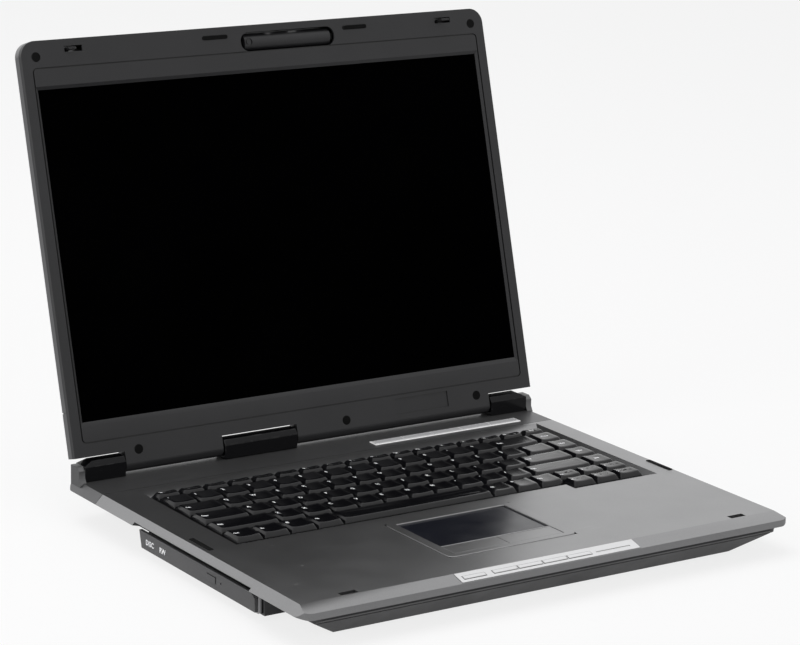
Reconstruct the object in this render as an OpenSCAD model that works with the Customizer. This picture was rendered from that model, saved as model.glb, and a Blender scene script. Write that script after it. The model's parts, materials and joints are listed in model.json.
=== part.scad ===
// Open notebook computer with a wide screen, a full keyboard and a disc drive on the left.
// Y is measured inside the modules from the hinge axis, and hinge_y puts the whole part over the origin.

/* [Base] */
// Width of the base across its silver band
base_w = 357; // [342:1:400]
// From the hinge axis to the front of the base
front_reach = 278; // [265:1:310]
// From the hinge axis to the back of the base
back_reach = 7.5; // [7:0.5:12]
// Height of the deck above the table
deck_z = 26; // [25:0.5:32]
// Height of the rubber feet
foot_h = 1.6; // [1:0.1:3]
// Skin of the top case
skin = 2; // [1.5:0.1:2.4]
// Wall of the bottom case
wall = 1.8; // [1.2:0.1:2.2]
// Radius of the front corners
corner_r = 9; // [5:1:14]
// Width of the front chamfer
front_bevel = 10.7; // [8:0.1:13]
// Width of the side chamfers
side_bevel = 5.5; // [3:0.1:7]
// Drop of the front chamfer
bevel_drop = 2.8; // [1.5:0.1:3.2]
// Drop of the side chamfers
side_drop = 5.6; // [3:0.1:6]
// Height of the silver band under the chamfer
band_h = 4.3; // [3.6:0.1:5]
// Height of the shadow groove under the band
groove_h = 1.8; // [1:0.1:2.2]
// How far the underside runs in at the front
flare_run = 17.5; // [12:0.5:30]
// How far the underside runs in at the sides
side_flare = 25.5; // [15:0.5:30]
// Radius of the rear corners
rear_r = 10; // [6:0.5:12]

/* [Lid] */
// Width of the lid
lid_w = 353; // [338:1:398]
// From the hinge axis to the top of the lid
lid_reach = 272; // [260:1:304]
// Thickness of the lid
lid_t = 9.2; // [8.6:0.1:11]
// From the hinge axis to the front face of the bezel
face_off = 5.5; // [5:0.1:6]
// Angle between the deck and the screen side
open_angle = 106; // [80:1:130]
// Width of the screen window
screen_w = 333; // [300:1:333]
// Height of the screen window
screen_h = 209; // [180:1:209]
// From the hinge axis to the bottom of the screen window
screen_low = 30.9; // [28:0.1:34]
// Thickness of the display panel
panel_t = 5.4; // [4.5:0.1:5.6]

/* [Hinges] */
// Space between the closed bezel and the deck
closed_gap = 1; // [0.8:0.1:1.6]
// Half depth of a hinge cover
cover_half = 6.3; // [6:0.1:6.6]
// Length of a corner hinge cover with its cheek
corner_cover_w = 36.7; // [34:0.1:42]
// Left end of the middle hinge cover
mid_cover_x = -69; // [-80:1:-60]
// Length of the middle hinge cover
mid_cover_w = 55; // [40:1:60]
// Radius of a hinge pin
pin_r = 2.9; // [2:0.1:3.2]
// Running clearance of a hinge pin
pin_fit = 0.05; // [0.02:0.01:0.1]

/* [Keyboard] */
// Width of one key unit
key_u = 19.05; // [18:0.05:19.2]
// Depth of one key row
key_row_d = 19.3; // [17.5:0.1:19.6]
// Depth of the function row
fn_row_d = 10.4; // [10:0.1:13]
// Height of a key cap
key_h = 3.7; // [3:0.1:4.2]
// Left side of the key field
keys_x = -145.4; // [-148:0.1:-143]
// Back of the key field, from the hinge axis
keys_y = -45; // [-46:0.5:-44]

/* [Deck pieces] */
// Line between the rear strip and the palm rest
strip_y = -33.3; // [-35:0.1:-32]
// Left side of the touchpad frame
pad_x = -54; // [-60:1:-40]
// Width of the touchpad frame
pad_w = 92.7; // [80:0.1:100]
// Back of the touchpad frame
pad_y = -171; // [-172:1:-170]
// Depth of the touchpad frame
pad_d = 72; // [66:1:76]
// Left side of the white front panel
panel_x = -69; // [-75:1:-60]
// Width of the white front panel
panel_w = 129.5; // [120:0.5:140]
// Left side of the hotkey bar
bar_x = 34; // [20:1:40]
// Width of the hotkey bar
bar_w = 118; // [100:1:124]

/* [Drive] */
// Width of the drive's bezel
drive_w = 130; // [126:1:134]
// Front end of the drive's bezel, from the hinge axis
drive_y = -220; // [-223:0.5:-217]
// How far the drive's bezel runs past its body at the back
drive_lip = 7.5; // [0:0.5:8]
// Depth of the drive into the base
drive_d = 126; // [118:1:130]
// Thickness of the drive
drive_h = 12.2; // [9.5:0.1:12.4]

/* [Hidden] */
$fn = 48;
eps = 0.01;
slip = 0.3; // clearance round pieces that move
seam = 0.15; // clearance round pieces that are clipped in
hinge_z = deck_z + closed_gap + face_off;
lean = open_angle - 90;
lid_back_off = lid_t - face_off;
hinge_y = (front_reach - lid_reach * sin(lean) - lid_back_off * cos(lean)) / 2;
half_w = base_w / 2;
band_z = deck_z - bevel_drop - band_h;
lower_z = band_z - groove_h;
side_in = 6; // how far the top case runs in under its side edges
lower_half = half_w - side_in - 2;
lower_front = front_reach - 1.6;
lower_back = back_reach - 1.2;
ceiling_z = deck_z - skin;
neck = skin + seam; // from the band to the rim inside it
shelf_z = ceiling_z - bevel_drop;
floor_z = foot_h + wall;
cover_wall = 1.4;
cover_in = cover_half - cover_wall;
cover_top = hinge_z + cover_half;
cheek = 4.4;
end_run = 6; // length of the slope at the outer end of a corner cover
end_drop = 2.8;
cheek_over = 2.4; // how far a hinge cheek stands past the chamfer's top edge
cheek_in = half_w - side_bevel + cheek_over - cheek; // inner face of a hinge cheek
mid_cover_end = mid_cover_x + mid_cover_w;
corner_in = half_w - corner_cover_w;
notch_u = cover_half + 1.4; // lower edge of the lid beside the hinge covers
tab_gap = 0.8;
barrel_r = face_off;
barrel_in = barrel_r - 1.4;
split_w = 1.5; // seam between bezel and back cover
face_skin = 1.4;
back_skin = 1.6;
lid_half = lid_w / 2;
screen_top = screen_low + screen_h;
lid_in_top = lid_reach - 1.8;
panel_z1 = face_off - face_skin - 0.4;
latch_u = 265.5;
latch_xs = [-139.5, 143.5]; // middles of the left and right latch slots
latch_w = 12.6;
latch_slot = 3.8;
deck_slot = [-266.5, -261.8]; // front and back of the slots in the deck
deck_slot_xs = [[-144.5, -133.2], [139.6, 151]];
cam_x = 19.2;
cam_len = 66;
cam_u = 261;
cam_r = 6;
cam_axis = face_off - cam_r;
cam_pin = 1.2;
cam_pin_z = cam_axis + 0.4;
plate_z1 = deck_z - 5.8;
plate_t = 1;
key_z0 = deck_z + 0.9 - key_h;
key_gap = 1;
stem_r = 2.2;
key_units = 15.67;
col_w = 0.96; // share of a unit in the last column
arrow_w = 0.97; // share of a unit in the keys by the arrows
arrow_i = 8; // place of the first short key in row 6
keys_w = key_units * key_u;
row2_y = keys_y - fn_row_d;
short_row_d = 14.4;
keys_front = row2_y - 5 * key_row_d;
arrow_front = row2_y - 4 * key_row_d - 2 * short_row_d;
recess_x0 = keys_x - 0.6;
recess_x1 = keys_x + keys_w + 0.6;
recess_back = keys_y + 0.6;
recess_front = keys_front - 1;
arrow_recess = arrow_front - 1;
slope_w = 4.4;
front_slope = 6.5;
slope_drop = 3.4;
ledge_w = 3.2;
ledge_z = plate_z1 - plate_t - 1.2;
rim_w = 1.8;
drive_z0 = 5.2;
drive_x = -half_w + 7; // outer end of the drive's body
bezel_t = 2.2;
drive_notch = 3.8;
bay_clear = 0.8;
bay_wall = 1.6;
battery_half = 105.5;
battery_y = strip_y + 0.4;
battery_z1 = 20.4;
bevel_angle = atan(bevel_drop / front_bevel);
row_w = [
    [for (i = [1 : 17]) key_units / 17],
    concat([for (i = [1 : 13]) 1], [1.71, col_w]),
    concat([1.5], [for (i = [1 : 12]) 1], [1.21, col_w]),
    concat([1.75], [for (i = [1 : 11]) 1], [1.96, col_w]),
    concat([2.25], [for (i = [1 : 10]) 1], [2.46, col_w]),
    concat([1, 1, 1, 1, 5.85], [for (i = [1 : 6]) arrow_w])
];
arrow_x = keys_x + sum(row_w[5], arrow_i) * key_u - 1;
enter_i = 12; // place of the enter key in row 4
space_i = 4; // place of the space bar in row 6

// Base pieces use Y from the hinge axis and Z from the table.
module on_base() translate([0, hinge_y, 0]) children();
// Lid pieces use Y up the lid from the hinge axis and Z towards the user.
module on_lid() translate([0, hinge_y, hinge_z]) rotate([180 - open_angle, 0, 0]) children();
// The front chamfer's middle line, with Z out of its face.
module on_front_bevel()
    translate([0, -front_reach + front_bevel / 2, deck_z - bevel_drop / 2])
        rotate([bevel_angle, 0, 0]) children();

// The front flare from its upper edge, with Y down its slope and Z out of its face.
flare_drop = lower_z - foot_h;
flare_len = norm([flare_run, flare_drop]);
flare_slots = [-88, 70];
module on_front_flare()
    translate([0, -lower_front, lower_z]) rotate([180 + atan2(flare_drop, flare_run), 0, 0])
        mirror([0, 1, 0]) children();

function sum(v, n) = n <= 0 ? 0 : v[n - 1] + sum(v, n - 1);

// A box from its low corner to its high corner.
module box(a, b) translate(a) cube([b[0] - a[0], b[1] - a[1], b[2] - a[2]]);
// A bar along X with the given (Y, Z) section.
module x_bar(x0, x1, pts)
    translate([x0, 0, 0]) rotate([90, 0, 90]) linear_extrude(x1 - x0) polygon(pts);
// A bar along Y with the given (X, Z) section.
module y_bar(y0, y1, pts)
    translate([0, y1, 0]) rotate([90, 0, 0]) linear_extrude(y1 - y0) polygon(pts);
module x_rod(x0, x1, y, z, r)
    translate([x0, y, z]) rotate([0, 90, 0]) cylinder(r = r, h = x1 - x0);

// A plate outline with rounded corners at its low Y end, and at its high Y end if rear isn't 0.
module outline(half, y0, y1, r, rear = 0) {
    translate([-half, y0 + r]) square([2 * half, y1 - y0 - r - rear]);
    translate([-half + r, y0]) square([2 * (half - r), r + eps]);
    for (s = [-1, 1]) translate([s * (half - r), y0 + r]) circle(r);
    if (rear > 0) {
        translate([-half + rear, y1 - rear - eps]) square([2 * (half - rear), rear + eps]);
        for (s = [-1, 1]) translate([s * (half - rear), y1 - rear]) circle(rear);
    }
}
module round_rect(x0, y0, x1, y1, r) {
    translate([x0 + r, y0]) square([x1 - x0 - 2 * r, y1 - y0]);
    translate([x0, y0 + r]) square([x1 - x0, y1 - y0 - 2 * r]);
    for (x = [x0 + r, x1 - r], y = [y0 + r, y1 - r]) translate([x, y]) circle(r);
}

// The top case with its chamfers, from the front to the given back line.
module case_form(y1, rear = 0)
    intersection() {
        translate([0, 0, band_z]) linear_extrude(deck_z - band_z)
            outline(half_w, -front_reach, y1, corner_r, rear);
        x_bar(-half_w, half_w, [[-front_reach, band_z], [-front_reach, deck_z - bevel_drop],
            [-front_reach + front_bevel, deck_z], [y1, deck_z], [y1, band_z]]);
        y_bar(-front_reach, y1, [[-half_w + side_in, band_z], [-half_w, deck_z - side_drop],
            [-half_w + side_bevel, deck_z], [half_w - side_bevel, deck_z],
            [half_w, deck_z - side_drop], [half_w - side_in, band_z]]);
    }

// The bottom case's outer form, or its inside when it is drawn smaller, cut off at cap.
module tub_form(half, front, back, z0, z1, r, rear, cap)
    intersection() {
        translate([0, 0, z0]) linear_extrude(cap - z0) outline(half, -front, back, r, rear);
        x_bar(-half, half, [[-front, z1], [-front + flare_run, z0], [back - 5, z0],
            [back, z0 + 5], [back, z1]]);
        y_bar(-front, back, [[-half, z1], [-half + side_flare, z0], [half - side_flare, z0],
            [half, z1]]);
    }

// The rim that stands up inside the top case, drawn smaller by inset.
module neck_ring(inset, z0, z1) translate([0, 0, z0]) linear_extrude(z1 - z0)
    outline(half_w - side_in - neck - inset, -front_reach + neck + inset, back_reach - neck - inset,
        corner_r - neck - inset, rear_r - neck - inset);

module drive_bay() {
    box([drive_x + 3, drive_y - bay_clear - bay_wall, drive_z0 - 1.2],
        [drive_x + drive_d + 3, drive_y + drive_w + bay_clear + bay_wall, lower_z]);
}

module base_screw_spots()
    for (p = [[-118, -60], [118, -60], [-60, -235], [0, -150], [60, -150], [130, -120], [20, -235]])
        translate(p) children();

module boss(x, y, r, z1) translate([x, y, floor_z - 0.5]) cylinder(r = r, h = z1 - floor_z + 0.5);

module base_bottom() color("dimgray") on_base() difference() {
    union() {
        difference() {
            union() {
                tub_form(lower_half, lower_front, lower_back, foot_h, lower_z, corner_r, rear_r, lower_z);
                neck_ring(0, lower_z, shelf_z);
                drive_bay();
            }
            difference() {
                union() {
                    tub_form(lower_half - wall, lower_front - wall, lower_back - wall, floor_z,
                        lower_z, corner_r - wall, rear_r - wall, lower_z - wall);
                    neck_ring(wall, lower_z - wall - 1, shelf_z + 1);
                }
                drive_bay();
            }
            box([-base_w, drive_y - bay_clear, drive_z0],
                [drive_x + drive_d + 1.5, drive_y + drive_w + bay_clear, deck_z]);
            box([-battery_half - seam, battery_y - seam, 0], [battery_half + seam, back_reach + 1, deck_z]);
        }
        for (p = [[-100, -80], [-38, -45], [140, -45], [140, -155], [50, -155], [-38, -155]])
            boss(p[0], p[1], 3, 8);
        for (x = [55, 135]) box([x - 4, -240, floor_z - eps], [x + 4, -174, 5]);
        for (y = [-16, 16]) box([fan[0] - 6, fan[1] + y - 2, floor_z - eps],
            [fan[0] + 6, fan[1] + y + 2, 8.2]);
    }
    base_screw_spots() cylinder(r = 3, h = foot_h + 1.2);
    for (i = [0 : 8]) translate([-152 + i * 4.6, 0, 0])
        box([0, lower_back - wall - 3, 10.5], [2, back_reach, 15.5]);
    jack_hole(slip);
    usb_holes(slip);
    // panel line and two small slots on the front flare
    on_front_flare() {
        box([-half_w, flare_len * 0.57 - 0.3, -0.5], [half_w, flare_len * 0.57 + 0.3, 1]);
        for (x = flare_slots)
            box([x - 3.4, flare_len * 0.26 - 1, -0.9], [x + 3.4, flare_len * 0.26 + 1, 1]);
    }
    // service hatch outline
    difference() {
        box([20, -168, foot_h - eps], [118, -92, foot_h + 0.5]);
        box([20.8, -167.2, 0], [117.2, -92.8, foot_h + 1]);
    }
}

jack_x = 150;
jack_z = 13;
module jack_hole(c) translate([jack_x, back_reach + 1, jack_z]) rotate([90, 0, 0])
    cylinder(r = 3.6 + c, h = 8);
usb_x = [118, 136];
usb_z = 11;
module usb_holes(c)
    for (x = usb_x) box([x - 6.8 - c, -5, usb_z - 3.1 - c], [x + 6.8 + c, back_reach + 1, usb_z + 3.1 + c]);

module keyboard_hole(grow, z0, z1) {
    box([recess_x0 - grow, recess_front - grow, z0], [recess_x1 + grow, recess_back + grow, z1]);
    box([arrow_x - grow, arrow_recess - grow, z0],
        [recess_x1 + grow, recess_front - min(grow, 0), z1]);
}

module keyboard_tub() difference() {
    union() {
        keyboard_hole(rim_w, ledge_z, ceiling_z + eps);
        box([recess_x0 - slope_w - rim_w, recess_front - front_slope - rim_w, deck_z - slope_drop - 1.4],
            [recess_x1 + slope_w + rim_w, strip_y - 0.3, ceiling_z + eps]);
        box([arrow_x - slope_w - rim_w, arrow_recess - front_slope - rim_w, deck_z - slope_drop - 1.4],
            [recess_x1 + slope_w + rim_w, recess_front, ceiling_z + eps]);
    }
    keyboard_hole(-ledge_w, 0, deck_z);
}

// Sloped lead-in all round a block of keys that begins at x0 and ends in front at y0.
module well(x0, y0) intersection() {
    x_bar(x0 - slope_w, recess_x1 + slope_w, [[y0, deck_z - slope_drop], [recess_back, deck_z - slope_drop],
        [strip_y - 3, deck_z + eps], [y0 - front_slope, deck_z + eps]]);
    y_bar(y0 - front_slope, strip_y - 3, [[x0, deck_z - slope_drop], [recess_x1, deck_z - slope_drop],
        [recess_x1 + slope_w, deck_z + eps], [x0 - slope_w, deck_z + eps]]);
}

module keyboard_cut() {
    keyboard_hole(0, plate_z1 - plate_t, deck_z + 1);
    well(recess_x0, recess_front);
    well(arrow_x, arrow_recess);
}

module palm_rest() color("gray") on_base() difference() {
    union() {
        difference() {
            case_form(strip_y - 0.3);
            linear_extrude(shelf_z)
                outline(half_w - side_in - skin, -front_reach + skin, strip_y + 1, corner_r - skin);
            box([-half_w + side_bevel + 1, -front_reach + front_bevel + 1, 0],
                [half_w - side_bevel - 1, strip_y + 1, ceiling_z]);
        }
        keyboard_tub();
    }
    keyboard_cut();
    // cutout in the left band over the drive
    box([-base_w, drive_y - bay_clear, 0], [-half_w + side_in - 0.1,
        drive_y + drive_w + drive_lip + bay_clear, deck_z - drive_notch]);
    box([pad_x - seam, pad_y - pad_d - seam, 0], [pad_x + pad_w + seam, pad_y + seam, deck_z + 1]);
    for (s = [-1, 1]) rest_pad(s, 0.05, deck_z - 0.8);
    for (x = deck_slot_xs) box([x[0], deck_slot[0], 0], [x[1], deck_slot[1], deck_z + 1]);
    on_front_bevel() translate([0, 0, -2])
        linear_extrude(4) translate([panel_x - seam, -front_bevel / 2 + 0.3])
            square([panel_w + 2 * seam, front_bevel - 0.6]);
}

pad_spots = [[-168.5, -149], [170.9, -155]];
module rest_pad(s, c, z0) translate(concat(pad_spots[s > 0 ? 1 : 0], [0]))
    box([-1.6 - c, -12 - c, z0], [1.6 + c, 12 + c, deck_z + (c > 0 ? 1 : 0.5)]);

module rest_pads() color("black") on_base() for (s = [-1, 1]) rest_pad(s, 0, deck_z - 0.8);

module rear_strip() color("dimgray") on_base() difference() {
    union() {
        difference() {
            intersection() {
                case_form(back_reach, rear_r);
                box([-base_w, strip_y, 0], [base_w, back_reach, deck_z + 1]);
            }
            linear_extrude(shelf_z)
                outline(half_w - side_in - skin, -front_reach, back_reach - skin, corner_r, rear_r - skin);
            box([-half_w + side_bevel + 1, strip_y - 1, 0],
                [half_w - side_bevel - 1, back_reach - skin, ceiling_z]);
        }
        for (s = [-1, 1]) cheek_block(s);
    }
    for (s = [-1, 1]) box([s > 0 ? corner_in + 3 : -cheek_in, -cover_in, ceiling_z - 1],
        [s > 0 ? cheek_in : -corner_in - 3, cover_in, deck_z + 1]);
    box([-battery_half - seam, back_reach - skin - 1, 0],
        [battery_half + seam, back_reach + 1, battery_z1 + seam]);
    box([bar_x - seam, bar_y0 - seam, 0], [bar_x + bar_w + seam, bar_y1 + seam, deck_z + 1]);
}

// The end cheek outside a corner hinge cover.
module cheek_block(s) intersection() {
    x_bar(s > 0 ? cheek_in : -cheek_in - cheek, s > 0 ? cheek_in + cheek : -cheek_in,
        [[-cover_half - 2, deck_z - bevel_drop - 1], [-cover_half - 2, deck_z - 0.5],
        [-cover_half, deck_z + 3], [-cover_half, hinge_z + 1.2], [-cover_half + 3, cover_top - end_drop],
        [cover_half - 2, cover_top - end_drop], [cover_half, hinge_z + 1.2], [cover_half, deck_z],
        [cover_half, deck_z - bevel_drop - 1]]);
    linear_extrude(cover_top) outline(half_w, -front_reach, back_reach, corner_r, rear_r);
}

// What the sloping outer ends of the corner hinge covers and their cheeks lose.
module end_slope(s) y_bar(-cover_half - 1, cover_half + 1, [[s * (cheek_in - end_run), cover_top],
    [s * cheek_in, cover_top - end_drop], [s * (cheek_in + 1), cover_top - end_drop],
    [s * (cheek_in + 1), cover_top + 1], [s * (cheek_in - end_run), cover_top + 1]]);

// A hollow hinge cover from x0 to x1 with end walls of the given thickness.
module cover(x0, x1, wall0, wall1) difference() {
    x_bar(x0, x1, cover_section(cover_half, cover_top, deck_z));
    x_bar(x0 + wall0, x1 - wall1, cover_section(cover_in, cover_top - cover_wall, deck_z - 1));
}
function cover_section(h, top, z0) = [[-h, z0], [-h, top - 3.2], [-h + 2.6, top], [h - 2.6, top],
    [h, top - 3.2], [h, z0]];

module hinge_cover_left() color("black") on_base() difference() {
    cover(-cheek_in, -corner_in, end_run + cover_wall, cover_wall);
    end_slope(-1);
    x_rod(-corner_in - 3, -corner_in + 1, 0, hinge_z, pin_r + 0.6);
}
module hinge_cover_right() color("black") on_base() difference() {
    cover(corner_in, cheek_in, cover_wall, end_run + cover_wall);
    end_slope(1);
    x_rod(corner_in - 1, corner_in + 3, 0, hinge_z, pin_r + 0.6);
}
module hinge_cover_middle() color("black") on_base() cover(mid_cover_x, mid_cover_end, cover_wall, cover_wall);

// A steel bracket: knuckle, web and a foot screwed under the rear strip.
module bracket(x0, x1) difference() {
    union() {
        x_rod(x0, x1, 0, hinge_z, cover_in - slip);
        box([x0, -cover_in + slip, ceiling_z - eps], [x1, cover_in - slip, hinge_z]);
        box([x0 - 1, bar_y1 + 2, ceiling_z - 2], [x1 + 1, back_reach - skin - 0.4, ceiling_z]);
    }
    x_rod(x0 - 1, x1 + 1, 0, hinge_z, pin_r + pin_fit);
}
bracket_w = 17;
bracket_x0 = cheek_in - end_run - cover_wall - 0.6 - bracket_w;
module hinge_bracket_left() color("silver") on_base() bracket(-bracket_x0 - bracket_w, -bracket_x0);
module hinge_bracket_right() color("silver") on_base() bracket(bracket_x0, bracket_x0 + bracket_w);

bar_y0 = -26.8;
bar_y1 = -18.6;
bar_rim = 0.9;
hot_n = 5;
hot_w = (bar_w - 2 * bar_rim) / hot_n;
module hotkey_trim() color("silver") on_base() difference() {
    union() {
        box([bar_x, bar_y0, ceiling_z - 1.6], [bar_x + bar_w, bar_y1, deck_z + 0.5]);
        box([bar_x - 1.5, bar_y0 - 1.5, ceiling_z - 1.6], [bar_x + bar_w + 1.5, bar_y1 + 1.5, ceiling_z]);
    }
    box([bar_x + bar_rim, bar_y0 + bar_rim, ceiling_z],
        [bar_x + bar_w - bar_rim, bar_y1 - bar_rim, deck_z + 1]);
}
module hotkey(i) color("silver") on_base()
    box([bar_x + bar_rim + i * hot_w + seam, bar_y0 + bar_rim + seam, ceiling_z + 0.9],
        [bar_x + bar_rim + (i + 1) * hot_w - seam, bar_y1 - bar_rim - seam, deck_z + 0.7]);
module power_key() hotkey(4);
module hotkey_1() hotkey(0);
module hotkey_2() hotkey(1);
module hotkey_3() hotkey(2);
module hotkey_4() hotkey(3);

pad_rim = 6.5;
pad_lip = deck_z + 0.4;
pad_btn_d = 14;
pad_split = pad_y - pad_d + pad_rim - 1.5 + pad_btn_d;
pad_mid = pad_x + pad_w / 2;
module touchpad_frame() color("gray") on_base() difference() {
    translate([0, 0, ceiling_z - 1.8]) linear_extrude(pad_lip - ceiling_z + 1.8)
        round_rect(pad_x, pad_y - pad_d, pad_x + pad_w, pad_y, 4);
    box([pad_x + pad_rim, pad_split + 1.2, ceiling_z - 0.6],
        [pad_x + pad_w - pad_rim, pad_y - pad_rim + 2, deck_z + 1]);
    box([pad_x + pad_rim, pad_y - pad_d + pad_rim - 1.5, ceiling_z - 0.6],
        [pad_x + pad_w - pad_rim, pad_split, deck_z + 1]);
}
module touchpad_pad() color("#202026") on_base()
    box([pad_x + pad_rim + seam, pad_split + 1.2 + seam, ceiling_z - 0.6],
        [pad_x + pad_w - pad_rim - seam, pad_y - pad_rim + 2 - seam, deck_z - 0.5]);
module pad_button(x0, x1) color("gray") on_base()
    box([x0, pad_y - pad_d + pad_rim - 1.5 + seam, ceiling_z + 0.3], [x1, pad_split - seam, deck_z + 0.2]);
module touchpad_button_left() pad_button(pad_x + pad_rim + seam, pad_mid - seam);
module touchpad_button_right() pad_button(pad_mid + seam, pad_x + pad_w - pad_rim - seam);

btn_d = 3.6;
btn_spots = [[3, 16], [24, 17.4], [42, 17.4], [60, 17.4], [78, 17.4]]; // start and width on the panel
indicator = [99, 25];
module front_panel() color("white") on_base() on_front_bevel() difference() {
    translate([panel_x, -front_bevel / 2 + 0.3 + seam, -2])
        cube([panel_w, front_bevel - 0.6 - 2 * seam, 2.3]);
    for (b = btn_spots) translate([panel_x + b[0], -btn_d / 2 - 0.6, -1.3]) cube([b[1], btn_d, 4]);
    translate([panel_x + indicator[0], -1.6, 0]) cube([indicator[1], 1, 1]);
}
module media_button(i) color("whitesmoke") on_base() on_front_bevel()
    translate([panel_x + btn_spots[i][0] + seam, -btn_d / 2 - 0.6 + seam, -0.8])
        cube([btn_spots[i][1] - 2 * seam, btn_d - 2 * seam, 1.4]);
module media_button_1() media_button(0);
module media_button_2() media_button(1);
module media_button_3() media_button(2);
module media_button_4() media_button(3);
module media_button_5() media_button(4);

// Where row r (from 1) begins in Y and how deep its key i is.
function row_y(r) = r == 1 ? keys_y : row2_y - (r - 2) * key_row_d;
function key_d(r, i) = r == 1 ? fn_row_d : r == 6 && i >= arrow_i ? short_row_d : key_row_d;
function key_mid(r, i) = [keys_x + (sum(row_w[r - 1], i) + row_w[r - 1][i] / 2) * key_u,
    row_y(r) - key_d(r, i) / 2];
arrow_mids = [for (i = [0 : 2]) [key_mid(6, arrow_i + i)[0], arrow_front + short_row_d / 2]];

// One tapered cap on a round guide stem that stands in the plate.
module key(p, w, d) translate([p[0], p[1], 0]) {
    intersection() {
        x_bar(-w / 2, w / 2, taper(d - key_gap, 1.7, 2));
        y_bar(-d / 2, d / 2, taper(w - key_gap, 1.7, 1.7));
    }
    translate([0, 0, plate_z1 - slip]) cylinder(r = stem_r, h = key_z0 - plate_z1 + slip + 1);
}
function taper(w, low, high) = [[-w / 2, key_z0], [-w / 2 + low, key_z0 + key_h],
    [w / 2 - high, key_z0 + key_h], [w / 2, key_z0]];
module key_at(r, i) key(key_mid(r, i), row_w[r - 1][i] * key_u, key_d(r, i));
module key_row(r, skip) color("#181818") on_base()
    for (i = [0 : len(row_w[r - 1]) - 1]) if (i != skip) key_at(r, i);
module key_row_1() key_row(1, -1);
module key_row_2() key_row(2, -1);
module key_row_3() key_row(3, -1);
module key_row_4() key_row(4, enter_i);
module key_row_5() key_row(5, -1);
module key_row_6() {
    key_row(6, space_i);
    color("#181818") on_base() for (p = arrow_mids) key(p, arrow_w * key_u, short_row_d);
}
module space_bar() color("#181818") on_base() key_at(6, space_i);
module enter_key() color("#181818") on_base() key_at(4, enter_i);

module keyboard_plate() color("#303030") on_base() difference() {
    keyboard_hole(-seam, plate_z1 - plate_t, plate_z1);
    for (r = [1 : 6], i = [0 : len(row_w[r - 1]) - 1]) stem_hole(key_mid(r, i));
    for (p = arrow_mids) stem_hole(p);
}
module stem_hole(p) translate([p[0], p[1], 0]) cylinder(r = stem_r + slip, h = deck_z);

tray_y0 = drive_y + 2.4;
tray_y1 = drive_y + drive_w - 2.4;
tray_mid = [drive_x + 62.5, drive_y + drive_w / 2];
tray_z0 = drive_z0 + 1.6;
module drive_housing() color("silver") on_base() difference() {
    box([drive_x, drive_y, drive_z0], [drive_x + drive_d, drive_y + drive_w, drive_z0 + drive_h]);
    box([drive_x - 1, tray_y0 - slip, tray_z0 - slip],
        [drive_x + drive_d - 1.5, tray_y1 + slip, drive_z0 + drive_h - 0.8]);
}
module drive_tray() color("#3a3a3a") on_base() difference() {
    union() {
        box([drive_x - slip - eps, tray_y0, tray_z0], [drive_x + drive_d - 2, tray_y1, tray_z0 + 6.6]);
        x_bar(drive_x - slip - bezel_t, drive_x - slip, [[drive_y - 0.6, drive_z0 + 1.3],
            [drive_y, drive_z0 + 9.4], [drive_y + 4, drive_z0 + drive_h],
            [drive_y + drive_w + drive_lip, drive_z0 + drive_h],
            [drive_y + drive_w + drive_lip - 3, drive_z0 + 1.3]]);
    }
    translate([tray_mid[0], tray_mid[1], tray_z0 + 5]) cylinder(r = 60.5, h = 5);
    translate([tray_mid[0], tray_mid[1], tray_z0 + 3.4]) difference() {
        cylinder(r = 20, h = 8);
        cylinder(r = 7, h = 2.6);
    }
    box([eject_x - 5, eject_y - 5.3, eject_z - 2.1], [eject_x + 0.9, eject_y + 5.3, eject_z + 2.1]);
    translate([0, eject_y - 11, 0]) x_rod(eject_x - 5, eject_x + 1.4, 0, eject_z, 0.6);
}
eject_x = drive_x - slip - bezel_t;
eject_y = drive_y + 49.5;
eject_z = drive_z0 + 7;
module drive_eject_button() color("#3a3a3a") on_base()
    box([eject_x - 0.5, eject_y - 5.3 + seam, eject_z - 2.1 + seam],
        [eject_x + 0.2, eject_y + 5.3 - seam, eject_z + 2.1 - seam]);

module battery_pack() color("#303030") on_base() difference() {
    x_bar(-battery_half, battery_half, [[battery_y, foot_h], [lower_back - 5, foot_h],
        [lower_back, foot_h + 5], [lower_back, battery_z1], [battery_y, battery_z1]]);
    for (x = [-60 : 40 : 60]) box([x - 8, battery_y - 1, 8], [x + 8, battery_y + 1, 12]);
}
module hard_disk() color("silver") on_base() {
    box([45, -242, 5], [145, -172, 13.6]);
    translate([88, -207, 13.6 - eps]) cylinder(r = 30, h = 0.8);
}
board_z = 8;
module motherboard() color("darkgreen") on_base() {
    box([-42, -165, board_z], [150, -39, board_z + 1.6]);
    box([-106, -84, board_z], [-42, -39, board_z + 1.6]);
    for (c = [[-5, -62, 17, 2.4], [50, -75, 15, 2], [110, -70, 12, 1.8], [20, -130, 12, 1.8]])
        translate([c[0] - c[2], c[1] - c[2], board_z + 1.6 - eps]) cube([2 * c[2], 2 * c[2], c[3]]);
    box([68, -134, board_z + 1.6 - eps], [140, -127, board_z + 5.4]);
}
module memory_module() color("green") on_base()
    box([70, -127, board_z + 3], [137.6, -97, board_z + 5.6]);
sink_z = board_z + 4;
module heatsink() color("peru") on_base() {
    box([-30, -82, sink_z], [20, -42, sink_z + 2.4]);
    box([-112.5, -50, sink_z + 2.4 - eps], [10, -44, sink_z + 5]);
    box([-112.5, -50, sink_z + 2.4 - eps], [-108.5, -8, sink_z + 5]);
    box([-150, -12, sink_z + 2.4 - eps], [-108.5, -8, sink_z + 5]);
    for (i = [0 : 12]) box([-150 + 3.3 * i, -12, 10], [-149.2 + 3.3 * i, 3, sink_z + 2.4]);
}
fan = [-132.5, -43];
fan_r = 16;
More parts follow.
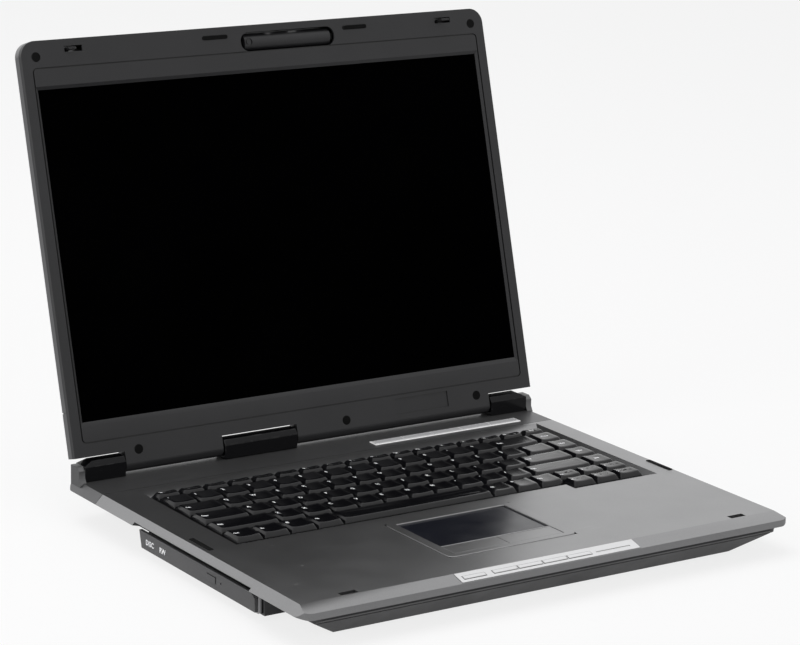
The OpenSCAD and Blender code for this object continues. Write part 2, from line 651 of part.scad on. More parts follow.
module fan_housing() color("#222222") on_base() difference() {
    translate([fan[0] - 19, fan[1] - 19, 8.2]) cube([38, 38, 8.6]);
    translate([fan[0], fan[1], 9.4]) cylinder(r = fan_r + 0.8, h = 10);
    box([fan[0] - 16.5, fan[1], 9.4], [fan[0] + 16.5, fan[1] + 25, 15.8]);
    translate([fan[0], fan[1], 9.4 - 0.9]) cylinder(r = 1.05, h = 2);
}
module fan_rotor() color("#333333") on_base() translate([fan[0], fan[1], 0]) {
    translate([0, 0, 8.8]) cylinder(r = 1, h = 2);
    translate([0, 0, 10]) cylinder(r = 6.5, h = 6);
    for (a = [0 : 24 : 359]) rotate([0, 0, a]) translate([6, -0.4, 10.4]) cube([fan_r - 6, 0.8, 5]);
}
module speakers() color("#282828") on_base() for (s = [-1, 1])
    box([s * 110 - 20, -262, ceiling_z - 9], [s * 110 + 20, -246, ceiling_z]);
foot_spots = [[-122, -228], [122, -228], [-122, -24], [122, -24]];
module feet() color("black") on_base() for (p = foot_spots) translate(p) cylinder(r = 7, h = foot_h);
module base_screws() color("silver") on_base() base_screw_spots() difference() {
    translate([0, 0, foot_h + 0.2]) cylinder(r = 2.7, h = 1);
    translate([-1.6, -0.4, foot_h]) cube([3.2, 0.8, 0.6]);
    translate([-0.4, -1.6, foot_h]) cube([0.8, 3.2, 0.6]);
}
module dc_jack() color("black") on_base() difference() {
    union() {
        translate([jack_x, lower_back, jack_z]) rotate([90, 0, 0]) cylinder(r = 3.6, h = 4);
        box([jack_x - 4.5, -8, jack_z - 2.5], [jack_x + 4.5, lower_back - 3.8, jack_z + 4]);
    }
    difference() {
        translate([jack_x, lower_back + 1, jack_z]) rotate([90, 0, 0]) cylinder(r = 2.8, h = 10);
        translate([jack_x, lower_back - 0.6, jack_z]) rotate([90, 0, 0]) cylinder(r = 0.9, h = 10);
    }
}
module usb_ports() color("silver") on_base() for (x = usb_x) difference() {
    box([x - 6.8, -7, usb_z - 3.1], [x + 6.8, lower_back, usb_z + 3.1]);
    difference() {
        box([x - 6.2, -4, usb_z - 2.5], [x + 6.2, lower_back + 1, usb_z + 2.5]);
        box([x - 5.6, -5, usb_z - 0.2], [x + 5.6, lower_back - 1, usb_z + 1.7]);
    }
}

// The lid's plan with rounded top corners, drawn smaller by inset.
module lid_plan(inset) mirror([0, 1])
    outline(lid_half - inset, -lid_reach + inset, -notch_u - inset, 10 - inset);
tabs = [[-corner_in + tab_gap, mid_cover_x - tab_gap], [mid_cover_end + tab_gap, corner_in - tab_gap]];
module lid_form(z0, z1) {
    translate([0, 0, z0]) linear_extrude(z1 - z0) lid_plan(0);
    for (t = tabs) {
        box([t[0], 0, z0], [t[1], notch_u + eps, z1]);
        intersection() {
            x_rod(t[0], t[1], 0, 0, barrel_r);
            box([t[0], -20, z0 < 0 ? -20 : split_w], [t[1], 20, z0 < 0 ? split_w : 20]);
        }
    }
}
module lid_hollow(z0, z1) {
    translate([0, 0, z0]) linear_extrude(z1 - z0) lid_plan(1.8);
    for (t = tabs) {
        box([t[0] + 1.4, 0, z0], [t[1] - 1.4, notch_u + 3, z1]);
        x_rod(t[0] - 1, t[1] + 1, 0, 0, barrel_in);
    }
}

module lid_back() color("silver") on_lid() difference() {
    union() {
        difference() {
            lid_form(-lid_back_off, split_w);
            lid_hollow(-lid_back_off + back_skin, split_w + 1);
        }
        // ears that carry the camera's pins
        for (s = [-1, 1]) translate([cam_x + s * (cam_len / 2 + 2.5), cam_u, 0])
            box([-1.5, -2.4, -lid_back_off + back_skin - eps], [1.5, 2.4, split_w - 0.1]);
    }
    x_rod(cam_x - cam_len / 2 - 6, cam_x + cam_len / 2 + 6, cam_u, cam_pin_z, cam_pin + pin_fit);
    // shallow line between the silver cover and its lower strip
    difference() {
        box([-lid_half - 1, screen_low + 5.6, -lid_back_off - 1],
            [lid_half + 1, screen_low + 6.4, split_w + 1]);
        box([-lid_half + 0.4, 0, -lid_back_off + 0.4], [lid_half - 0.4, lid_reach, 20]);
    }
    // finger dip and the window of the release slider
    box([cam_x - 12, lid_in_top - 1, -1.9], [cam_x + 12, lid_reach + 1, split_w + 1]);
}

module bezel() color("#3c3c3e") on_lid() difference() {
    lid_form(split_w, face_off);
    lid_hollow(0, face_off - face_skin);
    hull() {
        box([-screen_w / 2, screen_low, face_off - face_skin - 0.6],
            [screen_w / 2, screen_top, face_off - face_skin]);
        box([-screen_w / 2 - 3, screen_low - 4.2, face_off],
            [screen_w / 2 + 3, screen_top + 3, face_off + 0.4]);
    }
    translate([0, 0, face_off - 0.9]) linear_extrude(1) difference() {
        round_rect(-170, 16.2, 170, 254.8, 3);
        round_rect(-169.2, 17, 169.2, 254, 2.2);
    }
    plug_spots() translate([0, 0, face_off - 1]) cylinder(r = 3.1, h = 2);
    for (x = bump_x) translate([0, 0, face_off - 0.9]) linear_extrude(2)
        round_rect(x - 9.5, latch_u - 1.4, x + 9.5, latch_u + 1.4, 1.3);
    translate([0, 0, 0]) linear_extrude(face_off + 1)
        round_rect(cam_x - 36.2, cam_u - cam_r - slip, cam_x + 36.2, cam_u + cam_r + slip, cam_r);
    for (x = latch_xs) box([x - latch_w / 2, latch_u - latch_slot / 2, 0],
        [x + latch_w / 2, latch_u + latch_slot / 2, face_off + 1]);
    box([65, 3.4, face_off - 0.6], [107.5, 13.8, face_off + 1]);
    box([cam_x - 12, lid_in_top - 1, 0], [cam_x + 12, lid_reach + 1, split_w + 1.2]);
}
module plug_spots() for (p = [[-166.4, 261.7], [166.4, 261.7], [-131, 7.8], [25.4, 5], [131, 7.8]])
    translate(p) children();
module bezel_plugs() color("#222222") on_lid() plug_spots()
    translate([0, 0, face_off - 1]) cylinder(r = 3, h = 1.1);
bump_x = [-36, 72];
module bumper_bars() color("black") on_lid() for (x = bump_x) translate([0, 0, face_off - 0.9])
    linear_extrude(1.5) round_rect(x - 9.4, latch_u - 1.3, x + 9.4, latch_u + 1.3, 1.2);

panel_u0 = screen_low - 7;
module lcd_panel() color("black") on_lid()
    box([-screen_w / 2 - 5.5, panel_u0, panel_z1 - panel_t],
        [screen_w / 2 + 5.5, screen_top + 6, panel_z1]);
module inverter_board() color("darkgreen") on_lid() {
    box([-70, 11, -1.8], [70, 21, -0.6]);
    box([30, 12, -0.6 - eps], [55, 20, 2.6]);
}

// A hinge arm: pin, hub in the barrel and a strap up the inside of the back cover.
module arm(s) {
    hub_x0 = s > 0 ? corner_in - 12 : -corner_in + 3;
    pin_out = bracket_x0 + bracket_w - 1;
    x_rod(s > 0 ? corner_in - 12 : -pin_out, s > 0 ? pin_out : -corner_in + 12, 0, 0, pin_r);
    x_rod(hub_x0, hub_x0 + 9, 0, 0, barrel_in - slip);
    box([hub_x0, 0, -lid_back_off + back_skin], [hub_x0 + 9, panel_u0 - 1, -0.6]);
}
module hinge_arm_left() color("silver") on_lid() arm(-1);
module hinge_arm_right() color("silver") on_lid() arm(1);

module camera_barrel() color("#303032") on_lid() translate([0, cam_u, cam_axis]) {
    difference() {
        intersection() {
            x_rod(cam_x - cam_len / 2, cam_x + cam_len / 2, 0, 0, cam_r - 0.1);
            box([-100, -20, 0.4], [100, 20, 20]);
        }
        translate([cam_x - 30, 0, cam_r - 0.9]) cylinder(r = 2.6, h = 2);
    }
    x_rod(cam_x - cam_len / 2 - 5, cam_x + cam_len / 2 + 5, 0, cam_pin_z - cam_axis, cam_pin);
    translate([cam_x - 30, 0, cam_r - 1.2]) cylinder(r = 1.6, h = 0.8);
}

bar_u = 251;
bar_z0 = -lid_back_off + back_skin + 0.2;
module latch_bar() color("silver") on_lid() {
    box([hook_xs[0] - 1.4, bar_u - 1.8, bar_z0], [hook_xs[1] + 7.6, bar_u + 1.8, bar_z0 + 1]);
    for (i = [0, 1]) translate([hook_xs[i], 0, 0]) {
        box([0, bar_u - 1.8, bar_z0], [4, latch_u + 0.8, bar_z0 + 1]);
        box([0, latch_u - 0.8, bar_z0], [4, latch_u + 0.8, face_off + (i > 0 ? 4.6 : 2.9)]);
    }
    // the right hook keeps its nose, the left one is bent and torn short
    translate([hook_xs[1], 0, 0])
        box([0, latch_u - 0.8, face_off + 2.6], [6.2, latch_u + 0.8, face_off + 4.6]);
    translate([hook_xs[0], latch_u + 0.8, 0]) rotate([90, 0, 0]) linear_extrude(1.6)
        polygon([[0, face_off + 1.4], [4, face_off + 1.2], [5.6, face_off + 2.3], [4.4, face_off + 3.1],
            [3.4, face_off + 2.6], [2.2, face_off + 3.7], [0.8, face_off + 2.8]]);
    box([link_x - 2, bar_u, bar_z0], [link_x + 2, lid_in_top - 0.6, bar_z0 + 1]);
    box([cam_x - 6, lid_in_top - 2.4, bar_z0], [link_x + 2, lid_in_top - 0.6, bar_z0 + 1]);
}
link_x = cam_x + cam_len / 2 + 8;
hook_xs = [-144, 140]; // left side of each hook
module latch_slider() color("#303032") on_lid()
    box([cam_x - 8, lid_in_top - 0.6, -1.6], [cam_x + 5, lid_reach + 0.1, split_w + 0.9]);

base_bottom();
palm_rest();
rear_strip();
hinge_cover_left();
hinge_cover_middle();
hinge_cover_right();
hinge_bracket_left();
hinge_bracket_right();
hotkey_trim();
power_key();
hotkey_1();
hotkey_2();
hotkey_3();
hotkey_4();
touchpad_frame();
touchpad_pad();
touchpad_button_left();
touchpad_button_right();
front_panel();
media_button_1();
media_button_2();
media_button_3();
media_button_4();
media_button_5();
keyboard_plate();
key_row_1();
key_row_2();
key_row_3();
key_row_4();
key_row_5();
key_row_6();
space_bar();
enter_key();
drive_housing();
drive_tray();
drive_eject_button();
battery_pack();
hard_disk();
motherboard();
heatsink();
fan_housing();
fan_rotor();
memory_module();
speakers();
feet();
base_screws();
rest_pads();
dc_jack();
usb_ports();
lid_back();
bezel();
lcd_panel();
inverter_board();
hinge_arm_left();
hinge_arm_right();
camera_barrel();
latch_slider();
latch_bar();
bezel_plugs();
bumper_bars();
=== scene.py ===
import json
import math
import bmesh
import bpy
from mathutils import Matrix, Vector


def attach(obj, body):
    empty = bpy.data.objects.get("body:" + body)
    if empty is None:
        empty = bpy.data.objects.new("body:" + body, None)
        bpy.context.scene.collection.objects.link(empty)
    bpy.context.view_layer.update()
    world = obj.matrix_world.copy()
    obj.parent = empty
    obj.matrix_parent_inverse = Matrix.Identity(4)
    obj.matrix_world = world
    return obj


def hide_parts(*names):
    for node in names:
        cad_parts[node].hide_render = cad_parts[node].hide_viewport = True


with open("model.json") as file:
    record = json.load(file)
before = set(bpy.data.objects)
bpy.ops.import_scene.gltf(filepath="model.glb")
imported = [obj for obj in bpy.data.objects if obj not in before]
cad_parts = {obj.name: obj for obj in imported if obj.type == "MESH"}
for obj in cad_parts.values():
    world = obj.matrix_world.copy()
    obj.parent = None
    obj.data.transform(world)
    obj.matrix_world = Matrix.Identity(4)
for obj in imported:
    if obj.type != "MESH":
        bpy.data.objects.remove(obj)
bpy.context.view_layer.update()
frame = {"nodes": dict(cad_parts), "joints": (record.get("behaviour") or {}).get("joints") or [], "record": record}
record = frame["record"]
slotOf = {part["node"]: part["material_slot"] for part in record["subparts"]}
bodyOf = {node: body for body, nodes in record["behaviour"]["bodies"].items() for node in nodes}
hinge = Vector(next(j["pos_m"] for j in frame["joints"] if j["name"] == "lid_hinge"))
mm = 0.001
print("frame loaded,", len(frame["nodes"]), "nodes")

cameraSetup = {
    "place": (-1.00617, -1.50953, 0.58812),
    "look": (0.5375, 0.8071, -0.2445),
    "roll": 1.25,  # degrees, turns the view clockwise
    "lens": 134.27,
    "sensor": 36,
    "shift": (0.0053, -0.0010),
    "clip": (0.05, 60),
}


def makeCamera(setup):
    camera = bpy.data.objects.new("viewCamera", bpy.data.cameras.new("viewCamera"))
    bpy.context.scene.collection.objects.link(camera)
    camera.data.sensor_width = setup["sensor"]
    camera.data.lens = setup["lens"]
    camera.data.shift_x, camera.data.shift_y = setup["shift"]
    camera.data.clip_start, camera.data.clip_end = setup["clip"]
    ahead = Vector(setup["look"]).normalized()
    right = ahead.cross(Vector((0, 0, 1))).normalized()
    up = right.cross(ahead)
    turn = math.radians(setup["roll"])
    turnedRight = right * math.cos(turn) + up * math.sin(turn)
    turnedUp = up * math.cos(turn) - right * math.sin(turn)
    axes = Matrix((turnedRight, turnedUp, -ahead)).transposed().to_4x4()
    camera.matrix_world = Matrix.Translation(Vector(setup["place"])) @ axes
    bpy.context.scene.camera = camera


studio = {
    "worldDiffuse": 0.45,  # what the surroundings give to matt surfaces
    "frontGloss": 0.7,  # how bright the surroundings in front look in glossy surfaces
    "glossTurn": (-0.9, 0.1),  # from front to back, where they grow to full brightness
    "floorGloss": 0.45,  # how bright the floor looks in them
    "floorColour": (0.86, 0.86, 0.87, 1),
    "floorGlow": 0.8,  # share of plain white in the floor as the camera sees it
    "floorGlowInGlass": 0.8,
    "floorGlowInGloss": 0.85,
    "floorRough": 0.9,
    "floorSpecular": 0.1,
    "floorSize": 14.0,
    "lamps": [
        {"name": "topLamp", "place": (-0.5, 0.3, 2.2), "aim": (0, 0, 0), "size": (1.8, 1.6),
         "watts": 26},
        {"name": "leftLamp", "place": (-2.2, -0.2, 1.1), "aim": (0, 0, 0.05), "size": (1.2, 1.2),
         "watts": 12},
        {"name": "frontLamp", "place": (0.6, -2.6, 1.3), "aim": (0, 0, 0.1), "size": (1.4, 1.0),
         "watts": 8},
    ],
}


def makeStudio(setup):
    scene = bpy.context.scene
    scene.view_settings.view_transform = "Standard"
    world = bpy.data.worlds.new("studioWorld")
    scene.world = world
    world.use_nodes = True
    tree = world.node_tree
    background = tree.nodes["Background"]
    background.inputs["Color"].default_value = (1, 1, 1, 1)
    path = tree.nodes.new("ShaderNodeLightPath")
    way = tree.nodes.new("ShaderNodeSeparateXYZ")
    tree.links.new(tree.nodes.new("ShaderNodeTexCoord").outputs["Generated"], way.inputs[0])
    mirrored = addRange(tree, way.outputs["Y"], *setup["glossTurn"], setup["frontGloss"], 1)
    seen, through = path.outputs["Is Camera Ray"], path.outputs["Is Transmission Ray"]
    plain = addMath(tree, "MAXIMUM", seen, through)
    glossy = addMath(tree, "MULTIPLY", path.outputs["Is Glossy Ray"], mirrored)
    level = addMath(tree, "MAXIMUM", plain, glossy)
    strength = addMath(tree, "MAXIMUM", level, setup["worldDiffuse"])
    tree.links.new(strength, background.inputs["Strength"])

    half = setup["floorSize"] / 2
    mesh = bpy.data.meshes.new("floor")
    corners = [(-half, -half, 0), (half, -half, 0), (half, half, 0), (-half, half, 0)]
    mesh.from_pydata(corners, [], [(0, 1, 2, 3)])
    floor = bpy.data.objects.new("floor", mesh)
    scene.collection.objects.link(floor)
    paper = bpy.data.materials.new("paperFloor")
    paper.use_nodes = True
    tree = paper.node_tree
    shader = tree.nodes["Principled BSDF"]
    shader.inputs["Base Color"].default_value = setup["floorColour"]
    shader.inputs["Roughness"].default_value = setup["floorRough"]
    shader.inputs["Specular IOR Level"].default_value = setup["floorSpecular"]
    path = tree.nodes.new("ShaderNodeLightPath")
    surface = shader.outputs[0]
    for ray, share, strength in (("Is Camera Ray", setup["floorGlow"], 1),
                                 ("Is Transmission Ray", setup["floorGlowInGlass"], 1),
                                 ("Is Glossy Ray", setup["floorGlowInGloss"], setup["floorGloss"])):
        glow = tree.nodes.new("ShaderNodeEmission")
        glow.inputs["Strength"].default_value = strength
        blend = tree.nodes.new("ShaderNodeMixShader")
        tree.links.new(addMath(tree, "MULTIPLY", path.outputs[ray], share), blend.inputs[0])
        tree.links.new(surface, blend.inputs[1])
        tree.links.new(glow.outputs[0], blend.inputs[2])
        surface = blend.outputs[0]
    tree.links.new(surface, tree.nodes["Material Output"].inputs["Surface"])
    mesh.materials.append(paper)

    for lamp in setup["lamps"]:
        light = bpy.data.lights.new(lamp["name"], "AREA")
        light.shape = "RECTANGLE"
        light.size, light.size_y = lamp["size"]
        light.energy = lamp["watts"]
        holder = bpy.data.objects.new(lamp["name"], light)
        holder.visible_glossy = False  # glossy faces mirror the surroundings only
        scene.collection.objects.link(holder)
        place = Vector(lamp["place"])
        holder.location = place
        holder.rotation_euler = (Vector(lamp["aim"]) - place).to_track_quat("-Z", "Y").to_euler()


def addMath(tree, operation, *values, clamp=False):
    node = tree.nodes.new("ShaderNodeMath")
    node.operation = operation
    node.use_clamp = clamp
    for i, value in enumerate(values):
        if isinstance(value, (int, float)):
            node.inputs[i].default_value = value
        else:
            tree.links.new(value, node.inputs[i])
    return node.outputs[0]


def addNoise(tree, coords, scale, detail, stretch=None):
    if stretch:
        mapping = tree.nodes.new("ShaderNodeMapping")
        mapping.inputs["Scale"].default_value = stretch
        tree.links.new(coords, mapping.inputs["Vector"])
        coords = mapping.outputs[0]
    node = tree.nodes.new("ShaderNodeTexNoise")
    node.inputs["Scale"].default_value = scale
    node.inputs["Detail"].default_value = detail
    tree.links.new(coords, node.inputs["Vector"])
    return node.outputs["Fac"]


def addRange(tree, value, low, high, outLow=0.0, outHigh=1.0):
    node = tree.nodes.new("ShaderNodeMapRange")
    node.inputs["From Min"].default_value = low
    node.inputs["From Max"].default_value = high
    node.inputs["To Min"].default_value = outLow
    node.inputs["To Max"].default_value = outHigh
    tree.links.new(value, node.inputs["Value"])
    return node.outputs["Result"]


def addMix(tree, factor, first, second):
    node = tree.nodes.new("ShaderNodeMix")
    node.data_type = "RGBA"
    tree.links.new(factor, node.inputs[0])
    for socket, value in ((node.inputs[6], first), (node.inputs[7], second)):
        if isinstance(value, (tuple, list)):
            socket.default_value = (*value[:3], 1)
        else:
            tree.links.new(value, socket)
    return node.outputs[2]


def shade(colour, factor):
    return tuple(min(1.0, c * factor) for c in colour[:3])


plainLook = {  # what a finish has where its own entry says nothing
    "tone": 0.06, "toneScale": 14, "flake": 0, "grain": 0.3, "grainScale": 1500, "stretch": None,
    "roughSpread": 0.05, "metallic": 0.0, "specular": 0.5, "bump": 0.2, "glow": 0,
    # the edge colour marks rubbed edges, and on lined skins it is painted shade along every edge, a painted
    # highlight on the bright bar
    "wearAndEdgeShading": 0.5, "paintedEdgeLines": False, "wearAndEdgeShadingColour": None, "specks": 0.0, "scratches": 0.0, "scuffs": [],
    # the seam colour below is painted shade, darkening seams and corners on every skin
    "seamShade": 0.75, "seamShadeColour": (0.006, 0.006, 0.006),
}
skinDetail = {  # scales and thresholds that all finishes share
    "toneSpan": (0.35, 0.65),
    "flakeScale": 3500, "flakeShade": 1.7,
    "roughScale": 45, "roughSpan": (0.3, 0.7),
    "wearScale": 160, "patchLow": 0.47, "patchStep": 0.15,
    "paintedEdgeLinesLow": -1.0,  # lined skins show the edge tone all along their edges: painted shade lines, and a painted highlight line on the bright bar
    "wornShade": 1.8, "wornRough": 0.12, "wornDepth": -0.4,
    "speckScale": 420, "speckSpan": (0.80, 0.84),
    "scratchScale": 90, "scratchStretch": (1, 26, 26), "scratchSpan": (0.735, 0.76),
    "raggedScale": 1500, "raggedSpan": (1.15, 1.5),
    # reach and span of the painted shade in seams and corners
    "seamShadeSamples": 6, "seamShadeReach": 0.0016, "seamShadeSpan": (0.25, 0.85),
    "bumpDepth": 0.0001,
}


def addVectorMath(tree, operation, vector, values):
    node = tree.nodes.new("ShaderNodeVectorMath")
    node.operation = operation
    node.inputs[1].default_value = values
    tree.links.new(vector, node.inputs[0])
    return node.outputs[0]


# One recipe for moulded, painted and plated skins: slow tone shifts, fine grain or flakes,
# rubbed edges, painted shade and highlight lines along edges, small specks, fine scratches, named scuffs and
# painted shade in seams and corners.
def makeSkin(name, ownLook):
    look = {**plainLook, **ownLook}
    detail = skinDetail
    material = bpy.data.materials.new(name)
    material.use_nodes = True
    tree = material.node_tree
    shader = tree.nodes["Principled BSDF"]
    coords = tree.nodes.new("ShaderNodeTexCoord").outputs["Object"]
    colour = look["colour"]
    slow = addRange(tree, addNoise(tree, coords, look["toneScale"], 4), *detail["toneSpan"])
    tint = addMix(tree, slow, shade(colour, 1 - look["tone"]), shade(colour, 1 + look["tone"]))
    fine = addNoise(tree, coords, look["grainScale"], 2, look["stretch"])
    if look["flake"]:
        cells = tree.nodes.new("ShaderNodeTexVoronoi")
        cells.inputs["Scale"].default_value = detail["flakeScale"]
        tree.links.new(coords, cells.inputs["Vector"])
        sparkle = addRange(tree, cells.outputs["Color"], 0, 1, 0, look["flake"])
        tint = addMix(tree, sparkle, tint, shade(colour, detail["flakeShade"]))
    rough = addRange(tree, addNoise(tree, coords, detail["roughScale"], 5), *detail["roughSpan"],
                     look["rough"] - look["roughSpread"], look["rough"] + look["roughSpread"])

    # rubbed wear on edges; on lined skins the whole edge takes the edge colour as painted shade, on the bright bar
    # as a painted highlight
    wornAndShadedEdges = tree.nodes.new("ShaderNodeAttribute")
    wornAndShadedEdges.attribute_name = "edgeWearAndShading"
    low = detail["paintedEdgeLinesLow"] if look["paintedEdgeLines"] else detail["patchLow"]
    patchy = addNoise(tree, coords, detail["wearScale"], 6)
    patchy = addRange(tree, patchy, low, low + detail["patchStep"])
    rubbedAndShadedEdges = addMath(tree, "MULTIPLY", wornAndShadedEdges.outputs["Fac"], patchy)
    rubbedAndShadedEdges = addMath(tree, "MULTIPLY", rubbedAndShadedEdges, look["wearAndEdgeShading"])
    specks = addRange(tree, addNoise(tree, coords, detail["speckScale"], 1), *detail["speckSpan"])
    specks = addMath(tree, "MULTIPLY", specks, look["specks"])
    lines = addNoise(tree, coords, detail["scratchScale"], 1, detail["scratchStretch"])
    lines = addRange(tree, lines, *detail["scratchSpan"])
    lines = addMath(tree, "MULTIPLY", lines, look["scratches"])
    mask = addMath(tree, "MAXIMUM", rubbedAndShadedEdges, addMath(tree, "MAXIMUM", specks, lines))
    for spot in look["scuffs"]:
        offset = addVectorMath(tree, "SUBTRACT", coords, spot["at"])
        scaled = addVectorMath(tree, "MULTIPLY", offset, tuple(1 / r for r in spot["size"]))
        reach = tree.nodes.new("ShaderNodeVectorMath")
        reach.operation = "LENGTH"
        tree.links.new(scaled, reach.inputs[0])
        ragged = addNoise(tree, coords, detail["raggedScale"], 3)
        ragged = addMath(tree, "ADD", reach.outputs["Value"], ragged)
        inside = addRange(tree, ragged, *detail["raggedSpan"], spot["strength"], 0)
        mask = addMath(tree, "MAXIMUM", mask, inside)
    tint = addMix(tree, mask, tint, look["wearAndEdgeShadingColour"] or shade(colour, detail["wornShade"]))
    seams = tree.nodes.new("ShaderNodeAmbientOcclusion")  # painted shade: seams and corners darkened by ambient occlusion
    seams.samples = detail["seamShadeSamples"]
    seams.inputs["Distance"].default_value = detail["seamShadeReach"]
    seamShadeMask = addRange(tree, seams.outputs["AO"], *detail["seamShadeSpan"], look["seamShade"], 0)
    tint = addMix(tree, seamShadeMask, tint, look["seamShadeColour"])
    tree.links.new(tint, shader.inputs["Base Color"])
    roughAll = addMath(tree, "MULTIPLY_ADD", mask, detail["wornRough"], rough, clamp=True)
    tree.links.new(roughAll, shader.inputs["Roughness"])
    shader.inputs["Metallic"].default_value = look["metallic"]
    shader.inputs["Specular IOR Level"].default_value = look["specular"]
    if look["glow"]:  # a little light of its own, for faces that catch a bright surrounding
        tree.links.new(tint, shader.inputs["Emission Color"])
        shader.inputs["Emission Strength"].default_value = look["glow"]

    dents = addMath(tree, "MULTIPLY", mask, detail["wornDepth"])
    height = addMath(tree, "MULTIPLY_ADD", fine, look["grain"], dents)
    bump = tree.nodes.new("ShaderNodeBump")
    bump.inputs["Strength"].default_value = look["bump"]
    bump.inputs["Distance"].default_value = detail["bumpDepth"]
    tree.links.new(height, bump.inputs["Height"])
    tree.links.new(bump.outputs[0], shader.inputs["Normal"])
    return material


def basePlace(x, y, z):  # millimetres from the hinge line, Z from the table
    return Vector((x * mm, hinge.y + y * mm, z * mm))


